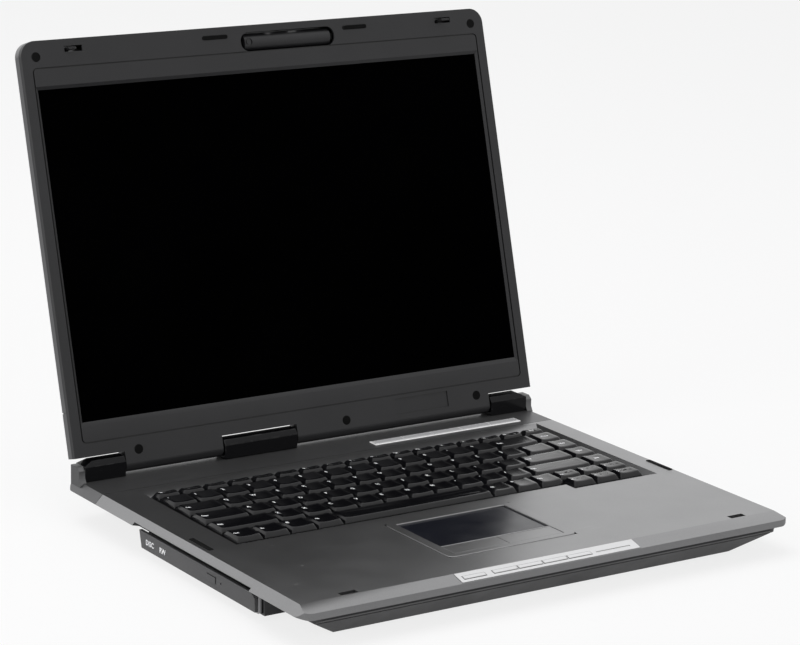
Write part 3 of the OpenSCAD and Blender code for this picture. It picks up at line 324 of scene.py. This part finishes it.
finishes = {
    "case_grey": {
        "colour": (0.29, 0.29, 0.295), "metallic": 0.95, "rough": 0.34, "roughSpread": 0.015,
        "tone": 0.03, "flake": 0.2, "grain": 0.5, "bump": 0.05, "wearAndEdgeShading": 0.35, "specks": 0.25,
        "scratches": 0.08, "wearAndEdgeShadingColour": (0.45, 0.45, 0.45),
        "scuffs": [
            {"at": basePlace(-132.9, -171.3, 26), "size": (0.0018, 0.0010, 0.002), "strength": 0.6},
            {"at": basePlace(-157.1, -237.8, 26), "size": (0.0016, 0.0012, 0.002), "strength": 0.5},
            {"at": basePlace(-136.6, -211.1, 26), "size": (0.0010, 0.0016, 0.002), "strength": 0.6},
            {"at": basePlace(48, -236, 26), "size": (0.010, 0.0008, 0.002), "strength": 0.2},
            {"at": basePlace(56, -240, 26), "size": (0.008, 0.0007, 0.002), "strength": 0.15},
        ],
    },
    "lower_case": {
        "colour": (0.05, 0.05, 0.052), "rough": 0.45, "grain": 0.8, "bump": 0.3, "wearAndEdgeShading": 0.35,
        "specks": 0.2, "grainScale": 2600,
    },
    # its near-black edge colour runs along every edge as painted shade lines
    "strip_grey": {
        "colour": (0.15, 0.15, 0.153), "metallic": 0.85, "rough": 0.4, "roughSpread": 0.03,
        "paintedEdgeLines": True, "wearAndEdgeShading": 0.9, "wearAndEdgeShadingColour": (0.012, 0.012, 0.012), "tone": 0.04,
        "flake": 0.2, "grain": 0.8, "bump": 0.15, "specks": 0.35, "scratches": 0.25,
        "grainScale": 2200,
        "scuffs": [
            {"at": basePlace(-118, -24, 26), "size": (0.012, 0.004, 0.002), "strength": 0.15},
        ],
    },
    "hinge_gloss": {
        "colour": (0.004, 0.004, 0.005), "rough": 0.12, "specular": 0.22, "bump": 0.03,
        "wearAndEdgeShading": 0.3, "wearAndEdgeShadingColour": (0.06, 0.06, 0.06), "scratches": 0.15,
    },
    "steel": {
        "colour": (0.52, 0.52, 0.53), "metallic": 1.0, "rough": 0.32, "stretch": (1, 40, 40),
        "grainScale": 120, "grain": 0.6, "bump": 0.1, "wearAndEdgeShading": 0.2,
    },
    # its near-white edge colour runs along every edge as a painted highlight, and its glow is light of its own
    "bright_bar": {
        "colour": (0.5, 0.5, 0.51), "metallic": 0.5, "rough": 0.2, "glow": 0.3, "paintedEdgeLines": True,
        "tone": 0.02, "bump": 0.03, "wearAndEdgeShading": 0.9, "wearAndEdgeShadingColour": (0.98, 0.98, 0.98),
        "scratches": 0.1,
    },
    "touch_surface": {
        "colour": (0.010, 0.011, 0.016), "rough": 0.22, "roughSpread": 0.04, "bump": 0.04,
        "grainScale": 3000, "scratches": 0.06, "wearAndEdgeShadingColour": (0.06, 0.06, 0.06),
    },
    # its dark edge colour is painted shade along the gaps around the buttons, and its dark seam colour is painted
    # shade in the seams
    "white_panel": {
        "colour": (0.74, 0.74, 0.75), "rough": 0.35, "tone": 0.02, "bump": 0.05, "wearAndEdgeShading": 0.8,
        "paintedEdgeLines": True, "wearAndEdgeShadingColour": (0.22, 0.22, 0.22), "specks": 0.2, "seamShade": 0.9,
        "seamShadeColour": (0.05, 0.05, 0.05),
    },
    "key_black": {
        "colour": (0.004, 0.004, 0.005), "rough": 0.2, "roughSpread": 0.03, "grain": 0.6,
        "bump": 0.1, "grainScale": 3500, "wearAndEdgeShading": 0.3, "wearAndEdgeShadingColour": (0.04, 0.04, 0.04),
        "specks": 0.15,
    },
    "board_black": {
        "colour": (0.012, 0.012, 0.013), "rough": 0.55, "grain": 0.7, "bump": 0.25,
    },
    # its strong seam darkening is painted shade in the gaps around the drive
    "drive_face": {
        "colour": (0.088, 0.088, 0.09), "rough": 0.42, "grain": 0.6, "bump": 0.12, "wearAndEdgeShading": 0.3,
        "specks": 0.2, "scratches": 0.1, "seamShade": 0.95,
    },
    "aluminium": {
        "colour": (0.6, 0.6, 0.61), "metallic": 1.0, "rough": 0.4, "grain": 0.7, "bump": 0.3,
    },
    "copper": {
        "colour": (0.66, 0.33, 0.19), "metallic": 1.0, "rough": 0.35, "tone": 0.2, "bump": 0.1,
    },
    "circuit": {
        "colour": (0.02, 0.12, 0.05), "rough": 0.4, "tone": 0.3, "toneScale": 220, "grain": 0.8,
        "bump": 0.3, "grainScale": 700,
    },
    "rubber": {
        "colour": (0.006, 0.006, 0.006), "rough": 0.8, "specular": 0.08, "grain": 0.9, "bump": 0.3,
        "specks": 0.2, "wearAndEdgeShading": 0.3, "wearAndEdgeShadingColour": (0.05, 0.05, 0.05),
    },
    "lid_silver": {
        "colour": (0.19, 0.19, 0.195), "metallic": 0.95, "rough": 0.34, "roughSpread": 0.02,
        "tone": 0.03, "flake": 0.25, "grain": 0.5, "bump": 0.06, "wearAndEdgeShading": 0.5, "specks": 0.3,
        "scratches": 0.2, "wearAndEdgeShadingColour": (0.35, 0.35, 0.35),
    },
    # its darker edge colour is painted shade along its edges and grooves, and its strong seam darkening is painted
    # shade in the seams
    "bezel_grey": {
        "colour": (0.016, 0.016, 0.0175), "rough": 0.4, "roughSpread": 0.04, "tone": 0.1,
        "grain": 0.6, "bump": 0.12, "wearAndEdgeShading": 0.9, "specks": 0.05,
        "wearAndEdgeShadingColour": (0.003, 0.003, 0.003), "paintedEdgeLines": True, "seamShade": 0.95,
    },
    "screen": {
        "colour": (0.0005, 0.0005, 0.0006), "rough": 0.5, "roughSpread": 0.03, "specular": 0.0,
        "bump": 0.05, "tone": 0.2, "wearAndEdgeShadingColour": (0.002, 0.002, 0.002), "specks": 0.1,
    },
}


def addPiece(name, mesh, material, body, replaced=()):
    piece = bpy.data.objects.new(name, mesh)
    bpy.context.scene.collection.objects.link(piece)
    mesh.materials.clear()
    mesh.materials.append(material)
    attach(piece, body)
    if replaced:
        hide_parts(*replaced)
    return piece


mergeReach = 0.000002  # metres, corners closer than this are one


def nodeCopy(node):
    work = bmesh.new()
    work.from_mesh(frame["nodes"][node].data)
    bmesh.ops.remove_doubles(work, verts=work.verts, dist=mergeReach)
    return work


rounding = {
    "flat": 0.5,  # degrees, faces that meet at less are merged first
    "fromAngle": 32,  # degrees, edges sharper than this are rounded
    "segments": 2,
    "sharp": 50,  # degrees, edges that stay sharp in the shading
}


# A CAD node again with rounded edges, and a face attribute on them for rubbed wear and for painted edge shade and
# highlight.
def roundedPiece(node, width):
    work = nodeCopy(node)
    bmesh.ops.dissolve_limit(work, angle_limit=math.radians(rounding["flat"]),
                             verts=work.verts, edges=work.edges)
    wearAndEdgeShading = work.faces.layers.float.new("edgeWearAndShading")
    least = math.radians(rounding["fromAngle"])
    edges = [e for e in work.edges if e.is_manifold and e.calc_face_angle() > least]
    made = bmesh.ops.bevel(work, geom=edges, offset=width * mm, offset_type="OFFSET",
                           segments=rounding["segments"], profile=0.5, affect="EDGES",
                           clamp_overlap=True)
    for face in made["faces"]:
        face[wearAndEdgeShading] = 1.0
    mesh = bpy.data.meshes.new(node + "Skin")
    work.to_mesh(mesh)
    work.free()
    slotName = slotOf[node]
    piece = addPiece(node + "Skin", mesh, materials[slotName], bodyOf[node], [node])
    mesh.shade_smooth()
    mesh.set_sharp_from_angle(angle=math.radians(rounding["sharp"]))
    even = piece.modifiers.new("evenNormals", "WEIGHTED_NORMAL")
    even.keep_sharp = True


makeCamera(cameraSetup)
makeStudio(studio)
print("camera, floor and lamps made")
materials = {name: makeSkin(name + "Skin", look) for name, look in finishes.items()}
for node, item in frame["nodes"].items():
    item.data.materials.clear()
    item.data.materials.append(materials[slotOf[node]])
print("finishes made,", len(materials))

edgeWidths = {  # millimetres of rounding on each visible CAD piece
    "palm_rest": 0.35, "rear_strip": 0.35, "base_bottom": 0.4, "lid_back": 0.45, "bezel": 0.3,
    "hinge_cover_left": 0.7, "hinge_cover_middle": 0.7, "hinge_cover_right": 0.7,
    "hotkey_trim": 0.4, "power_key": 0.15,
    "hotkey_1": 0.15, "hotkey_2": 0.15, "hotkey_3": 0.15, "hotkey_4": 0.15,
    "touchpad_frame": 0.5, "touchpad_pad": 0.15,
    "touchpad_button_left": 0.25, "touchpad_button_right": 0.25,
    "front_panel": 0.25, "media_button_1": 0.35, "media_button_2": 0.35, "media_button_3": 0.35,
    "media_button_4": 0.35, "media_button_5": 0.35, "drive_tray": 0.3, "drive_eject_button": 0.2,
    "battery_pack": 0.4, "rest_pads": 0.3, "bumper_bars": 0.3, "bezel_plugs": 0.35, "camera_barrel": 0.35,
    "latch_slider": 0.3, "latch_bar": 0.2, "feet": 0.4, "usb_ports": 0.15, "dc_jack": 0.2,
    "hinge_arm_left": 0.2, "hinge_arm_right": 0.2, "lcd_panel": 0.2,
}
for node, width in edgeWidths.items():
    roundedPiece(node, width)
print("case pieces rounded,", len(edgeWidths))

capShape = {
    "width": 18.05, "depth": 18.3,  # foot of a one unit cap
    "height": 3.7,
    "slopes": (1.65, 1.95, 1.65),  # front, back, side
    "edge": 0.5,  # rounding between side and top
    "dish": 0.5,
    "footCorner": 0.6, "topCorner": 1.5,
    "cornerSteps": 3, "frontSteps": 6, "sideSteps": 2,
    "footShare": 0.04, "footHeight": 0.5,  # second ring: its share of the slopes, and its height
    # upper rings: share of the slopes, edge widths below the top, extra inset, share of the dish
    "rings": ((0.86, 1.1, 0, 0.8), (0.97, 0.3, 0.1, 1.0), (1.0, 0, 0.32, 1.0)),
    "innerRings": (0.3, 0.62),
    "sharp": 60,  # degrees
}
capSpread = {
    "tilt": 0.004,  # radians, the most that a cap leans
    "seed": 7,
    "pull": 1500,  # per metre, how near its middle a cap begins to be pulled out
}


def ringPoints(front, back, side, corner, z):
    shape = capShape
    x1 = shape["width"] / 2 - side
    y0, y1 = -shape["depth"] / 2 + front, shape["depth"] / 2 - back
    corners = [(x1 - corner, y0 + corner, -90), (x1 - corner, y1 - corner, 0),
               (-x1 + corner, y1 - corner, 90), (-x1 + corner, y0 + corner, 180)]
    points = []
    for i, (cx, cy, start) in enumerate(corners):
        for k in range(shape["cornerSteps"] + 1):
            a = math.radians(start + 90 * k / shape["cornerSteps"])
            points.append((cx + corner * math.cos(a), cy + corner * math.sin(a), z))
        nx, ny, nextStart = corners[(i + 1) % 4]
        a = math.radians(nextStart)
        goal = (nx + corner * math.cos(a), ny + corner * math.sin(a))
        steps = shape["sideSteps"] if i in (0, 2) else shape["frontSteps"]
        last = points[-1]
        for k in range(1, steps):
            t = k / steps
            points.append((last[0] + (goal[0] - last[0]) * t, last[1] + (goal[1] - last[1]) * t, z))
    return points


def dishDrop(x, halfTop):
    return capShape["dish"] * max(0.0, 1 - (x / halfTop) ** 2)


def makeCapMesh():
    shape = capShape
    front, back, side = shape["slopes"]
    top = shape["height"]
    middle = (front - back) / 2
    halfTop = shape["width"] / 2 - side
    low = shape["footShare"]
    rings = [(ringPoints(0, 0, 0, shape["footCorner"], 0), 0),
             (ringPoints(front * low, back * low, side * low, shape["footCorner"],
                         shape["footHeight"]), 0)]
    for share, below, extra, dished in shape["rings"]:
        points = ringPoints(front * share + extra, back * share + extra, side * share + extra,
                            shape["topCorner"] * share, top - shape["edge"] * below)
        rings.append((points, dished))
    outer = rings[-1][0]
    for inner in shape["innerRings"]:
        keep = 1 - inner
        rings.append(([(x * keep, (y - middle) * keep + middle, top) for x, y, z in outer], 1))
    work = bmesh.new()
    loops = []
    for ring, dished in rings:
        row = []
        for x, y, z in ring:
            z -= dishDrop(x, halfTop) * dished
            row.append(work.verts.new((x * mm, y * mm, z * mm)))
        loops.append(row)
    for lower, upper in zip(loops, loops[1:]):
        for k in range(len(lower)):
            n = (k + 1) % len(lower)
            work.faces.new((lower[k], lower[n], upper[n], upper[k]))
    centre = work.verts.new((0, middle * mm, (top - shape["dish"]) * mm))
    last = loops[-1]
    for k in range(len(last)):
        work.faces.new((last[k], last[(k + 1) % len(last)], centre))
    work.faces.new(list(reversed(loops[0])))
    bmesh.ops.recalc_face_normals(work, faces=work.faces)
    mesh = bpy.data.meshes.new("capTemplate")
    work.to_mesh(mesh)
    work.free()
    mesh.shade_smooth()
    mesh.set_sharp_from_angle(angle=math.radians(shape["sharp"]))
    return mesh


def namedAttribute(tree, name, kind):
    node = tree.nodes.new("GeometryNodeInputNamedAttribute")
    node.data_type = kind
    node.inputs["Name"].default_value = name
    return node.outputs["Attribute"]


# Caps on points, each pulled out from its middle to its own width and depth.
def makeKeyTree():
    tree = bpy.data.node_groups.new("keyField", "GeometryNodeTree")
    for name, kind in (("Geometry", "NodeSocketGeometry"), ("Cap", "NodeSocketObject"),
                       ("Tilt", "NodeSocketFloat"), ("Seed", "NodeSocketInt"),
                       ("Finish", "NodeSocketMaterial")):
        tree.interface.new_socket(name, in_out="INPUT", socket_type=kind)
    tree.interface.new_socket("Geometry", in_out="OUTPUT", socket_type="NodeSocketGeometry")
    given = tree.nodes.new("NodeGroupInput")
    result = tree.nodes.new("NodeGroupOutput")
    keep = tree.nodes.new("GeometryNodeStoreNamedAttribute")
    keep.data_type = "FLOAT_VECTOR"
    keep.inputs["Name"].default_value = "capCentre"
    tree.links.new(given.outputs["Geometry"], keep.inputs["Geometry"])
    position = tree.nodes.new("GeometryNodeInputPosition").outputs[0]
    tree.links.new(position, keep.inputs["Value"])
    cap = tree.nodes.new("GeometryNodeObjectInfo")
    tree.links.new(given.outputs["Cap"], cap.inputs["Object"])
    low = addMath(tree, "MULTIPLY", given.outputs["Tilt"], -1)
    random = tree.nodes.new("FunctionNodeRandomValue")
    random.data_type = "FLOAT_VECTOR"
    tree.links.new(low, random.inputs[0])
    tree.links.new(given.outputs["Tilt"], random.inputs[1])
    tree.links.new(given.outputs["Seed"], random.inputs["Seed"])
    turn = tree.nodes.new("FunctionNodeEulerToRotation")
    tree.links.new(random.outputs[0], turn.inputs[0])
    spread = tree.nodes.new("GeometryNodeInstanceOnPoints")
    tree.links.new(keep.outputs[0], spread.inputs["Points"])
    tree.links.new(cap.outputs["Geometry"], spread.inputs["Instance"])
    tree.links.new(turn.outputs[0], spread.inputs["Rotation"])
    real = tree.nodes.new("GeometryNodeRealizeInstances")
    tree.links.new(spread.outputs[0], real.inputs[0])
    offset = tree.nodes.new("ShaderNodeVectorMath")
    offset.operation = "SUBTRACT"
    tree.links.new(position, offset.inputs[0])
    tree.links.new(namedAttribute(tree, "capCentre", "FLOAT_VECTOR"), offset.inputs[1])
    parts = tree.nodes.new("ShaderNodeSeparateXYZ")
    tree.links.new(offset.outputs[0], parts.inputs[0])
    moves = tree.nodes.new("ShaderNodeCombineXYZ")
    for axis, name in enumerate(("extraWidth", "extraDepth")):
        share = addMath(tree, "MULTIPLY", parts.outputs[axis], capSpread["pull"])
        share = addMath(tree, "MAXIMUM", addMath(tree, "MINIMUM", share, 1), -1)
        half = addMath(tree, "MULTIPLY", namedAttribute(tree, name, "FLOAT"), 0.5)
        tree.links.new(addMath(tree, "MULTIPLY", share, half), moves.inputs[axis])
    move = tree.nodes.new("GeometryNodeSetPosition")
    tree.links.new(real.outputs[0], move.inputs["Geometry"])
    tree.links.new(moves.outputs[0], move.inputs["Offset"])
    paint = tree.nodes.new("GeometryNodeSetMaterial")
    tree.links.new(move.outputs[0], paint.inputs["Geometry"])
    tree.links.new(given.outputs["Finish"], paint.inputs["Material"])
    tree.links.new(paint.outputs[0], result.inputs["Geometry"])
    return tree


# Runs a tree on points with their attributes and returns the plain mesh that it makes.
def growMesh(name, tree, points, attributes, values):
    mesh = bpy.data.meshes.new(name + "Points")
    mesh.from_pydata([tuple(p) for p in points], [], [])
    for key, numbers in attributes.items():
        kind = "FLOAT_VECTOR" if isinstance(numbers[0], (tuple, Vector)) else "FLOAT"
        layer = mesh.attributes.new(key, kind, "POINT")
        if kind == "FLOAT":
            layer.data.foreach_set("value", numbers)
        else:
            layer.data.foreach_set("vector", [c for v in numbers for c in v])
    carrier = bpy.data.objects.new(name + "Carrier", mesh)
    bpy.context.scene.collection.objects.link(carrier)
    modifier = carrier.modifiers.new("grow", "NODES")
    modifier.node_group = tree
    sockets = {s.name: s.identifier for s in tree.interface.items_tree if s.in_out == "INPUT"}
    for key, value in values.items():
        modifier[sockets[key]] = value
    graph = bpy.context.evaluated_depsgraph_get()
    grown = bpy.data.meshes.new_from_object(carrier.evaluated_get(graph))
    grown.name = name
    bpy.data.objects.remove(carrier)
    for key in list(attributes) + ["capCentre"]:
        layer = grown.attributes.get(key)
        if layer:
            grown.attributes.remove(layer)
    return grown


# The separate solids of a CAD node, as (low corner, high corner), from left to right.
def islands(node):
    work = nodeCopy(node)
    left = set(work.verts)
    found = []
    while left:
        stack = [left.pop()]
        points = []
        while stack:
            vert = stack.pop()
            points.append(vert.co.copy())
            for e in vert.link_edges:
                other = e.other_vert(vert)
                if other in left:
                    left.discard(other)
                    stack.append(other)
        low = Vector([min(p[i] for p in points) for i in range(3)])
        high = Vector([max(p[i] for p in points) for i in range(3)])
        found.append((low, high))
    work.free()
    return sorted(found, key=lambda b: (b[0] + b[1]).x)


legends = {
    "key_row_1": ["Esc", "F1", "F2", "F3", "F4", "F5", "F6", "F7", "F8", "F9", "F10", "F11", "F12",
                  "Brk", "Prt", "Ins", "Del"],
    "key_row_2": ["`", "1", "2", "3", "4", "5", "6", "7", "8", "9", "0", "-", "=", "Back", "Home"],
    "key_row_3": ["Tab", "Q", "W", "E", "R", "T", "Y", "U", "I", "O", "P", "[", "]", "\\", "PgUp"],
    "key_row_4": ["Caps", "A", "S", "D", "F", "G", "H", "J", "K", "L", ";", "'", "PgDn"],
    "key_row_5": ["Shift", "Z", "X", "C", "V", "B", "N", "M", ",", ".", "/", "Shift", "End"],
    "key_row_6": ["Ctrl", "Fn", "#", "Alt", "Alt", "=", "Ctrl", "Fn", "<", "^", "v", "^", ">"],
    "space_bar": [""],
    "enter_key": ["Enter"],
}
legendLook = {
    "letter": 3.7, "word": 2.3,  # heights of single letters and of words
    "thickness": 0.04,
    "lift": 0.06,
    "inset": (0.3, 0.6),  # letter, word, from the left edge of the top
    "tops": (3.6, 6.2, 1.0),  # letter, word, word on a shallow key, from the back edge of the top
    "shallowKey": 0.012,  # metres, keys less deep than this are shallow
    "lastColumn": 0.13,  # metres, words stand in the middle of keys that begin beyond it
    "bolder": 0.16,
    "steps": 2,  # along each curve of a letter
    "colour": (0.88, 0.89, 0.93),
}


def textMesh(words, size):
    curve = bpy.data.curves.new("legend", "FONT")
    curve.body = words
    curve.size = size * mm
    curve.extrude = legendLook["thickness"] / 2 * mm
    curve.offset = legendLook["bolder"] * mm
    curve.resolution_u = legendLook["steps"]
    holder = bpy.data.objects.new("legend", curve)
    bpy.context.scene.collection.objects.link(holder)
    graph = bpy.context.evaluated_depsgraph_get()
    mesh = bpy.data.meshes.new_from_object(holder.evaluated_get(graph))
    bpy.data.objects.remove(holder)
    return mesh


def legendPiece(node, caps, words):
    work = bmesh.new()
    front, back, side = capShape["slopes"]
    halfTop = capShape["width"] / 2 - side
    for (low, high), word in zip(caps, words):
        if not word:
            continue
        isWord = len(word) > 1
        mesh = textMesh(word, legendLook["word"] if isWord else legendLook["letter"])
        centre = (low.x + high.x) / 2 / mm
        extra = ((high.x - low.x) / mm - capShape["width"]) / 2
        lows = min(v.co.x for v in mesh.vertices)
        highs = max(v.co.y for v in mesh.vertices)
        left = low.x / mm + side + legendLook["inset"][isWord]
        if isWord and low.x > legendLook["lastColumn"]:
            left = centre - (max(v.co.x for v in mesh.vertices) - lows) / mm / 2
        isShallow = high.y - low.y < legendLook["shallowKey"]
        topLine = high.y / mm - back - legendLook["tops"][2 if isShallow else isWord]
        for vert in mesh.vertices:
            x = left + (vert.co.x - lows) / mm
            drop = dishDrop(max(0.0, abs(x - centre) - max(0.0, extra)), halfTop)
            y = topLine + (vert.co.y - highs) / mm
            z = high.z / mm - drop + legendLook["lift"] + vert.co.z / mm
            vert.co = Vector((x, y, z)) * mm
        work.from_mesh(mesh)
        bpy.data.meshes.remove(mesh)
    merged = bpy.data.meshes.new(node + "Legends")
    work.to_mesh(merged)
    work.free()
    return addPiece(node + "Legends", merged, materials["legend"], bodyOf[node])


materials["legend"] = makeSkin("legendSkin", {"colour": legendLook["colour"], "rough": 0.5, "tone": 0.15,
                                              "toneScale": 300, "bump": 0.05})
capMesh = makeCapMesh()
capTemplate = bpy.data.objects.new("capTemplate", capMesh)
bpy.context.scene.collection.objects.link(capTemplate)
keyTree = makeKeyTree()
for node, words in legends.items():
    caps = islands(node)
    foot = min(c[1].z for c in caps) - capShape["height"] * mm
    points = [Vector(((low.x + high.x) / 2, (low.y + high.y) / 2, foot)) for low, high in caps]
    sizes = {"extraWidth": [high.x - low.x - capShape["width"] * mm for low, high in caps],
             "extraDepth": [high.y - low.y - capShape["depth"] * mm for low, high in caps]}
    grown = growMesh(node + "Caps", keyTree, points, sizes,
                     {"Cap": capTemplate, "Tilt": capSpread["tilt"], "Seed": capSpread["seed"],
                      "Finish": materials["key_black"]})
    addPiece(node + "Caps", grown, materials["key_black"], bodyOf[node], [node])
    if any(words):
        legendPiece(node, caps, words)
bpy.data.objects.remove(capTemplate)
print("keys made")

driveMarks = {
    "words": (("DISC", -91), ("RW", -108)),  # lettering and where it starts, from the hinge line
    "size": 4.6,
    "foot": 10.2,  # height over the table
    "lift": 0.05,
}


def makeDriveMarks(look):
    face = islands("drive_tray")[0][0].x
    work = bmesh.new()
    for word, start in look["words"]:
        mesh = textMesh(word, look["size"])
        for vert in mesh.vertices:
            across, up, out = vert.co
            vert.co = Vector((face - look["lift"] * mm - out, hinge.y + start * mm - across,
                              look["foot"] * mm + up))
        work.from_mesh(mesh)
        bpy.data.meshes.remove(mesh)
    marks = bpy.data.meshes.new("driveMarks")
    work.to_mesh(marks)
    work.free()
    addPiece("driveMarks", marks, materials["legend"], bodyOf["drive_tray"])


makeDriveMarks(driveMarks)
print("drive lettered")
